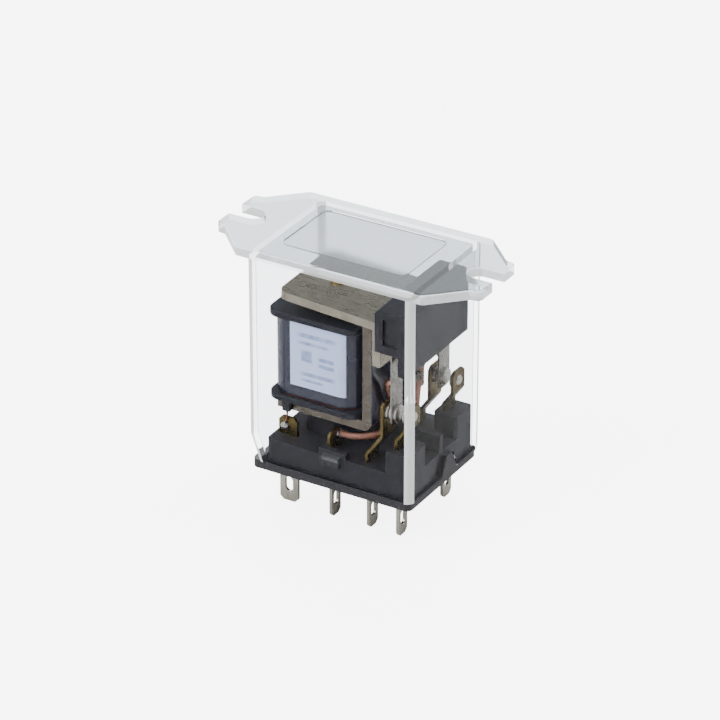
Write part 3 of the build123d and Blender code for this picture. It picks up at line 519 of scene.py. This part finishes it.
def label_film(low, high):
    """Coated paper label: pale blue, printed with plain bars and a square that say nothing."""
    material, tree, shader = new_material("label_paper_coated", {"IOR": 1.5, "Roughness": 0.34})
    place = add_node(tree, "ShaderNodeTexCoord").outputs["Object"]
    parts = add_node(tree, "ShaderNodeSeparateXYZ", links={"Vector": place})
    across = ramp(tree, parts.outputs["X"], 0, 1, low[0], high[0])
    up = ramp(tree, parts.outputs["Z"], 0, 1, low[2], high[2])
    marks = label_bar(tree, across, up, *LABEL_BARS[0])
    for centre, half in LABEL_BARS[1:]:
        bar = label_bar(tree, across, up, centre, half)
        marks = add_node(tree, "ShaderNodeMath", {"operation": "MAXIMUM"}, {0: marks, 1: bar}).outputs[0]
    worn = ramp(tree, noise(tree, place, 1.4, 4.0), 0.35, 0.95, 0.3, 0.7)
    ink = add_node(tree, "ShaderNodeMath", {"operation": "MULTIPLY"}, {0: marks, 1: worn}).outputs[0]
    paper = blend_colours(tree, ramp(tree, across, 0, 0.75), colours().label, colours().label_end)
    clouded = blend_colours(tree, noise(tree, place, 2.2, 3.0), paper, shade(colours().label, 1.06))
    printed = blend_colours(tree, ink, clouded, colours().label_ink)
    tree.links.new(printed, shader.inputs["Base Color"])
    bump(tree, shader, noise(tree, place, 0.25), GRAIN_DEPTH, 0.4)
    return material


def studio_floor():
    """Matt white board, lit so that it outshines the object standing on it."""
    material, tree, shader = new_material("studio_board_matt", {
        "Roughness": 0.85, "Emission Color": linear("fafafa")})
    tone = noise(tree, object_place(tree), 60.0, 2.0)
    tree.links.new(blend_colours(tree, tone, colours().floor, shade(colours().floor, 0.985)),
                   shader.inputs["Base Color"])
    # its extra light is seen straight or through the cover, and adds nothing to the light on the pieces
    material.cycles.emission_sampling = "NONE"
    path = add_node(tree, "ShaderNodeLightPath")
    turned = add_node(tree, "ShaderNodeMath", {"operation": "ADD"},
                      {0: path.outputs["Glossy Depth"], 1: path.outputs["Diffuse Depth"]})
    tree.links.new(ramp(tree, turned.outputs[0], bpy.context.scene.relay_stage.board_glow, 0),
                   shader.inputs["Emission Strength"])
    return material


# ---------------------------------------------------------------- operators
class RELAY_OT_cover(bpy.types.Operator):
    """Clear cover with its slotted flange"""

    bl_idname = "relay.cover"
    bl_label = "Cover"

    def execute(self, context):
        finishes = cover_finishes()
        cover = finished_copy("cover", "clear_cover", finishes["walls"], "root", sizes().cover_edge_round,
                              segments=3, inner=False)
        for finish in list(finishes.values())[1:]:
            cover.data.materials.append(finish)
        slots = {finish: number for number, finish in enumerate(finishes)}
        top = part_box("cover")[1][2]
        panel_z = top - sizes().panel_depth
        flange_under = top - sizes().flange_thickness
        body_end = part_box("base")[1][0]
        # the long walls run up into the flange, so they are parted at its underside
        bm = bmesh.new()
        bm.from_mesh(cover.data)
        bmesh.ops.bisect_plane(bm, geom=bm.verts[:] + bm.edges[:] + bm.faces[:],
                               plane_co=(0, 0, flange_under), plane_no=(0, 0, 1))
        bm.to_mesh(cover.data)
        bm.free()
        for face in cover.data.polygons:
            face.material_index = slots[cover_finish(face, panel_z, flange_under, body_end)]
        return {"FINISHED"}


def cover_finish(face, panel_z, flange_under, body_end):
    """Which of the cover's finishes a face has, by its place and the way it faces."""
    turned = face.normal
    place = face.center
    tolerance = 0.1 * MM
    outer = turned.x * place.x + turned.y * place.y > 0 or abs(place.x) > body_end
    outward = min(turned.x * place.x, turned.y * place.y) > 0
    diagonal = min(abs(turned.x), abs(turned.y)) > 0.15
    # the sunk panel is frosted and takes the grey painted shade
    if turned.z > 0.9 and abs(place.z - panel_z) < tolerance:
        return "panel"
    # the flange's outer sides take the pale painted light
    if place.z > flange_under and outer and abs(turned.z) < 0.5:
        return "sides"
    # the upright corners take the white painted light
    if outward and diagonal and abs(turned.z) < 0.6:
        return "corners"
    # the rest of the flange takes the grey painted shade
    if place.z > flange_under - tolerance:
        return "flange"
    return "walls"


class RELAY_OT_base(bpy.types.Operator):
    """Black base with its posts and lugs, and the screw in its underside"""

    bl_idname = "relay.base"
    bl_label = "Base"

    def execute(self, context):
        phenolic = moulded("phenolic_moulded", colours().moulding, 0.42, 0.4)
        finished_copy("base", "moulded_base", phenolic, "root", sizes().edge_round)
        finished_copy("frame_screw", "cross_slot_screw", zinc_steel(), "root", sizes().metal_edge_round)
        return {"FINISHED"}


class RELAY_OT_terminals(bpy.types.Operator):
    """The eight blades with their strips"""

    bl_idname = "relay.terminals"
    bl_label = "Terminals"

    def execute(self, context):
        tin = tin_plated_blade()
        for kind in ("com", "nc", "no", "coil"):
            for side in SIDES:
                finished_copy(f"{kind}_terminal_{side}", f"{kind}_blade_{side}", tin, "root",
                              sizes().metal_edge_round)
        return {"FINISHED"}


class RELAY_OT_magnet(bpy.types.Operator):
    """Yoke, core, shading ring and the film on the yoke's leg"""

    bl_idname = "relay.magnet"
    bl_label = "Magnet"

    def execute(self, context):
        # a darker copy of the armature's nickel plate: painted shade for the yoke and core under the coil
        iron = nickel_plated_iron("soft_iron_nickel_painted_shade", colours().yoke)
        edge = sizes().metal_edge_round
        finished_copy("yoke", "bent_yoke", iron, "root", edge)
        finished_copy("core", "pole_core", iron, "root", edge)
        finished_copy("shading_ring", "copper_shading_ring", copper_shading(), "root", edge / 2)
        finished_copy("insulator", "film_insulator", polyester_tape(), "root", edge / 2)
        return {"FINISHED"}


class RELAY_OT_coil(bpy.types.Operator):
    """Bobbin, winding, tape, label and the winding's soldered ends"""

    bl_idname = "relay.coil"
    bl_label = "Coil"

    def execute(self, context):
        nylon = moulded("nylon_glass_filled", colours().bobbin, 0.36, 0.32, 1.6)
        copper = copper_enamelled()
        edge = sizes().edge_round
        finished_copy("coil_bobbin", "coil_former", nylon, "root", edge)
        finished_copy("coil_winding", "copper_winding", copper, "root", 0)
        finished_copy("coil_tape", "winding_tape", polyester_tape(), "root", edge / 3)
        finished_copy("coil_label", "printed_label", label_film(*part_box("coil_label")), "root", edge / 4)
        tin = solder_tin()
        for side in SIDES:
            finished_copy(f"coil_wire_{side}", f"winding_end_{side}", copper, "root", 0)
            solder_bead(side, tin)
        return {"FINISHED"}


def solder_bead(side, material):
    """A flowed bead of solder over the wire's end, flat against the blade and drooping below."""
    low, high = (Vector(corner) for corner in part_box(f"coil_solder_{side}"))
    middle = (low + high) / 2
    half = (high - low) / 2
    wall = high.y if SIDES[side] < 0 else low.y
    bm = bmesh.new()
    bmesh.ops.create_icosphere(bm, subdivisions=4, radius=1.0)
    for vert in bm.verts:
        x, y, z = vert.co
        droop = 1 + 0.18 * max(0.0, -z)
        wobble = 1 + 0.05 * math.sin(5 * x + 3 * z)
        vert.co = (x * half.x * wobble / droop, y * half.y * 2, z * half.z * wobble)
    bmesh.ops.translate(bm, verts=bm.verts, vec=(middle.x, wall, middle.z))
    cut_flat(bm, (0, wall, 0), (0, -SIDES[side], 0))
    put_piece(f"solder_bead_{side}", mesh_from(bm), material, "root",
              (f"coil_solder_{side}",))


class RELAY_OT_armature(bpy.types.Operator):
    """Rocking armature with its residual pin"""

    bl_idname = "relay.armature"
    bl_label = "Armature"

    def execute(self, context):
        edge = sizes().metal_edge_round
        iron = nickel_plated_iron("soft_iron_bright_nickel", colours().iron)
        finished_copy("armature", "rocking_armature", iron, "armature", 2 * edge)
        finished_copy("residual_pin", "brass_residual_pin", brass(), "armature", edge / 2)
        return {"FINISHED"}


class RELAY_OT_contacts(bpy.types.Operator):
    """Contact block, leaves and the six contacts"""

    bl_idname = "relay.contacts"
    bl_label = "Contacts"

    def execute(self, context):
        edge = sizes().metal_edge_round
        black = moulded("phenolic_block_moulded", colours().moulding, 0.38, 0.4)
        finished_copy("contact_block", "moulded_contact_block", black, "armature",
                      1.5 * sizes().edge_round)
        finished_copy("block_rivets", "block_rivet_pair", brass(), "armature", edge / 2)
        silver = silver_contact()
        leaf = nickel_silver_leaf()
        for side in SIDES:
            finished_copy(f"moving_spring_{side}", f"contact_leaf_{side}", leaf, "armature", edge / 2)
            finished_copy(f"moving_contact_{side}", f"moving_rivet_{side}", silver, "armature", edge / 2)
            finished_copy(f"nc_contact_{side}", f"nc_rivet_{side}", silver, "root", edge / 2)
            finished_copy(f"no_contact_{side}", f"no_rivet_{side}", silver, "root", edge / 2)
        return {"FINISHED"}


class RELAY_OT_spring(bpy.types.Operator):
    """Return spring, wound and hooked"""

    bl_idname = "relay.spring"
    bl_label = "Return spring"

    def execute(self, context):
        low, high = (Vector(corner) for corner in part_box("return_spring"))
        middle = (low + high) / 2
        wire = sizes().spring_wire
        radius = (high.x - low.x - wire) / 2
        turns = sizes().spring_turns
        # the turns lie close, with a small gap between them
        pitch = 1.12 * wire
        coil_height = turns * pitch
        steps = 24
        start_z = middle.z - coil_height / 2
        end_z = start_z + coil_height
        bm = bmesh.new()
        foot = Matrix.Translation((middle.x + radius, 0, start_z))
        upright = Matrix.Rotation(math.pi / 2, 4, "X")
        bmesh.ops.create_circle(bm, cap_ends=False, radius=wire / 2, segments=10, matrix=foot @ upright)
        # wound up from below
        turned = bmesh.ops.spin(
            bm, geom=bm.edges[:], cent=(middle.x, 0, start_z), axis=(0, 0, 1), angle=2 * math.pi * turns,
            steps=steps * turns, dvec=(0, 0, pitch / steps))
        upper = edges_in(turned["geom_last"])
        lower = [e for e in bm.edges if e.is_boundary and e not in upper]
        for wire_end, way, coil_z, stop_z in ((upper, 1, end_z, high.z), (lower, -1, start_z, low.z)):
            tip = hook(bm, wire_end, way, middle.x, radius, coil_z, stop_z)
            bmesh.ops.contextual_create(bm, geom=tip)
        piece = put_piece("hooked_return_spring", mesh_from(bm, 60), zinc_steel(), None,
                          ("return_spring",))
        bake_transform(piece)
        return {"FINISHED"}


def hook(bm, edges, way, centre_x, radius, coil_z, stop_z):
    """Bends the wire's last ring into the coil's middle and up into an eye, and returns its end ring."""
    # a half turn of half the radius brings the wire, still level, over the coil's axis
    level = bmesh.ops.spin(bm, geom=edges, cent=(centre_x + radius / 2, 0, coil_z), axis=(0, 0, way),
                           angle=math.pi, steps=14, dvec=(0, 0, 0))
    # the eye is a round loop that stands on the axis and reaches past the stop, through the hole
    past_stop = 0.55 * MM
    eye = (abs(stop_z - coil_z) + past_stop) / 2
    looped = bmesh.ops.spin(bm, geom=edges_in(level["geom_last"]), cent=(centre_x, 0, coil_z + way * eye),
                            axis=(way, 0, 0), angle=math.radians(300), steps=26, dvec=(0, 0, 0))
    return edges_in(looped["geom_last"])


class RELAY_OT_leads(bpy.types.Operator):
    """Flexible stranded leads from the common blades to the leaves"""

    bl_idname = "relay.leads"
    bl_label = "Leads"

    def execute(self, context):
        copper = copper_strands()
        tin = solder_tin()
        leaf_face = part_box("moving_spring_front")[0][0]
        blade_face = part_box("com_terminal_front")[1][0]
        lead_radius = sizes().lead_diameter / 2
        for name, side in SIDES.items():
            leaf_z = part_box(f"lead_{name}")[1][2] - lead_radius
            blade_z = 13.4 * MM
            row = side * 5.6 * MM
            # from the leaf down between the poles and under the yoke's foot to the common blade
            route = [
                (leaf_face, row, leaf_z),
                (6.7 * MM, row, leaf_z),
                (6.8 * MM, side * 3.3 * MM, 19.9 * MM),
                (6.8 * MM, side * 2.8 * MM, 14.9 * MM),
                (2.4 * MM, row, blade_z),
                (blade_face, row, blade_z),
            ]
            mesh = stranded(route, lead_radius, sizes().lead_strands, sizes().lead_lay)
            piece = put_piece(f"stranded_lead_{name}", mesh, copper, None,
                              (f"lead_{name}",))
            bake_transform(piece)
            weld_pad(f"lead_weld_leaf_{name}", route[0], -1, tin, "armature")
            weld_pad(f"lead_weld_blade_{name}", route[-1], 1, tin, "root")
        return {"FINISHED"}


def spline_points(route, count=120):
    """About that many points along the smooth spline whose control points are the route."""
    curve = bpy.data.curves.new("route", "CURVE")
    curve.dimensions = "3D"
    spline = curve.splines.new("NURBS")
    spline.points.add(len(route) - 1)
    for point, place in zip(spline.points, route):
        point.co = (*place, 1)
    spline.order_u = 3
    spline.use_endpoint_u = True
    curve.resolution_u = count // len(route)
    holder = bpy.data.objects.new("route", curve)
    mesh = bpy.data.meshes.new_from_object(holder)
    points = [vert.co.copy() for vert in mesh.vertices]
    bpy.data.objects.remove(holder)
    bpy.data.curves.remove(curve)
    bpy.data.meshes.remove(mesh)
    return points


def stranded(route, radius, strands, lay):
    """Round strands laid in a helix about a straight middle strand, as one mesh."""
    points = spline_points(route)
    strand_radius = radius / (1 + 1 / math.sin(math.pi / strands))
    curve = bpy.data.curves.new("strands", "CURVE")
    curve.dimensions = "3D"
    # strands that only touch show gaps between them, so each is a little thick
    curve.bevel_depth = 1.12 * strand_radius
    curve.bevel_resolution = 2
    curve.use_fill_caps = True
    side = Vector((0, 1, 0))
    travelled = 0.0
    frames = []
    for i, point in enumerate(points):
        ahead = points[min(i + 1, len(points) - 1)] - points[max(i - 1, 0)]
        ahead.normalize()
        side = (side - ahead * side.dot(ahead)).normalized()
        if i:
            travelled += (point - points[i - 1]).length
        frames.append((point, ahead, side.copy(), travelled))
    for strand in range(strands):
        spline = curve.splines.new("POLY")
        spline.points.add(len(frames) - 1)
        for target, (point, ahead, across, length) in zip(spline.points, frames):
            turn = Quaternion(ahead, 2 * math.pi * (strand / strands + length / lay))
            target.co = (*(point + turn @ across * (radius - strand_radius)), 1)
    middle = curve.splines.new("POLY")
    middle.points.add(len(frames) - 1)
    for target, (point, *_) in zip(middle.points, frames):
        target.co = (*point, 1)
        target.radius = (radius - 2 * strand_radius) / strand_radius
    holder = bpy.data.objects.new("strands", curve)
    mesh = bpy.data.meshes.new_from_object(holder)
    bpy.data.objects.remove(holder)
    bpy.data.curves.remove(curve)
    for polygon in mesh.polygons:
        polygon.use_smooth = True
    return mesh


def weld_pad(name, place, facing, material, body):
    """The pressed and welded end of a lead: a low rounded pad against its strip."""
    bm = bmesh.new()
    half_sizes = (0.42 * MM, 0.8 * MM, 0.72 * MM)
    bmesh.ops.create_uvsphere(bm, u_segments=28, v_segments=16, radius=1.0)
    bmesh.ops.scale(bm, verts=bm.verts, vec=half_sizes)
    bmesh.ops.translate(bm, verts=bm.verts, vec=place)
    cut_flat(bm, place, (-facing, 0, 0))
    put_piece(name, mesh_from(bm), material, body)


class RELAY_OT_stage(bpy.types.Operator):
    """Pale floor, soft light and the camera"""

    bl_idname = "relay.stage"
    bl_label = "Stage"

    def execute(self, context):
        stage = context.scene.relay_stage
        bm = bmesh.new()
        bmesh.ops.create_grid(bm, x_segments=8, y_segments=8, size=2.0)
        floor = bpy.data.objects.new("floor", mesh_from(bm))
        floor.data.materials.append(studio_floor())
        context.scene.collection.objects.link(floor)

        world = bpy.data.worlds.new("white_surround")
        context.scene.world = world
        world.use_nodes = True
        world.node_tree.nodes.clear()
        sky = add_node(world.node_tree, "ShaderNodeBackground",
                       {"Color": linear("f4f6f8"), "Strength": stage.sky})
        add_node(world.node_tree, "ShaderNodeOutputWorld", links={"Surface": sky.outputs["Background"]})

        low, high = (Vector(corner) for corner in cad_bounds)
        middle = (low + high) / 2
        # each lamp's place from the middle of the object, the size of its square and its power
        lamps = (
            ("key", (-0.35, -0.55, 0.45), 0.5, stage.key_power),
            ("rim", (0.5, 0.35, 0.35), 0.4, stage.rim_power),
            ("top", (0.0, 0.1, 0.75), 0.7, stage.top_power),
            ("back", (-0.42, 0.70, 0.43), 0.8, stage.back_power),
        )
        for name, offset, size, power in lamps:
            lamp = bpy.data.lights.new(name, "AREA")
            lamp.size = size
            lamp.energy = power
            holder = bpy.data.objects.new(name, lamp)
            holder.location = middle + Vector(offset)
            holder.rotation_euler = (-Vector(offset)).to_track_quat("-Z", "Y").to_euler()
            # the lamps already shine straight through the cover, so bent rays don't count them again
            holder.visible_transmission = False
            context.scene.collection.objects.link(holder)

        aim = middle + Vector(stage.aim)
        level = math.cos(stage.elevation)
        back = Vector((math.sin(stage.azimuth) * level, -math.cos(stage.azimuth) * level,
                       math.sin(stage.elevation)))
        camera = bpy.data.cameras.new("camera")
        camera.lens = stage.lens
        camera.sensor_width = stage.sensor
        holder = bpy.data.objects.new("camera", camera)
        holder.location = aim + back * stage.distance
        holder.rotation_euler = (-back).to_track_quat("-Z", "Y").to_euler()
        context.scene.collection.objects.link(holder)
        context.scene.camera = holder
        return {"FINISHED"}


class RELAY_PT_panel(bpy.types.Panel):
    """The relay's pieces, in the 3D view's sidebar"""

    bl_label = "Plug-in relay"
    bl_idname = "RELAY_PT_panel"
    bl_space_type = "VIEW_3D"
    bl_region_type = "UI"
    bl_category = "Relay"

    def draw(self, context):
        for operator in OPERATORS:
            self.layout.operator(operator.bl_idname)
        for group in (context.scene.relay_colours, context.scene.relay_sizes, context.scene.relay_stage):
            column = self.layout.column()
            for name in group.__annotations__:
                column.prop(group, name)


GROUPS = {"relay_colours": RelayColours, "relay_sizes": RelaySizes, "relay_stage": RelayStage}
OPERATORS = (
    RELAY_OT_stage, RELAY_OT_base, RELAY_OT_terminals, RELAY_OT_magnet, RELAY_OT_coil, RELAY_OT_armature,
    RELAY_OT_contacts, RELAY_OT_spring, RELAY_OT_leads, RELAY_OT_cover,
)


def register():
    for cls in (*GROUPS.values(), *OPERATORS, RELAY_PT_panel):
        bpy.utils.register_class(cls)
    for name, group in GROUPS.items():
        setattr(bpy.types.Scene, name, PointerProperty(type=group))


def unregister():
    for name in GROUPS:
        delattr(bpy.types.Scene, name)
    for cls in (RELAY_PT_panel, *reversed(OPERATORS), *GROUPS.values()):
        bpy.utils.unregister_class(cls)


def main():
    register()
    for operator in OPERATORS:
        group, name = operator.bl_idname.split(".")
        getattr(getattr(bpy.ops, group), name)()


if __name__ == "__main__":
    main()
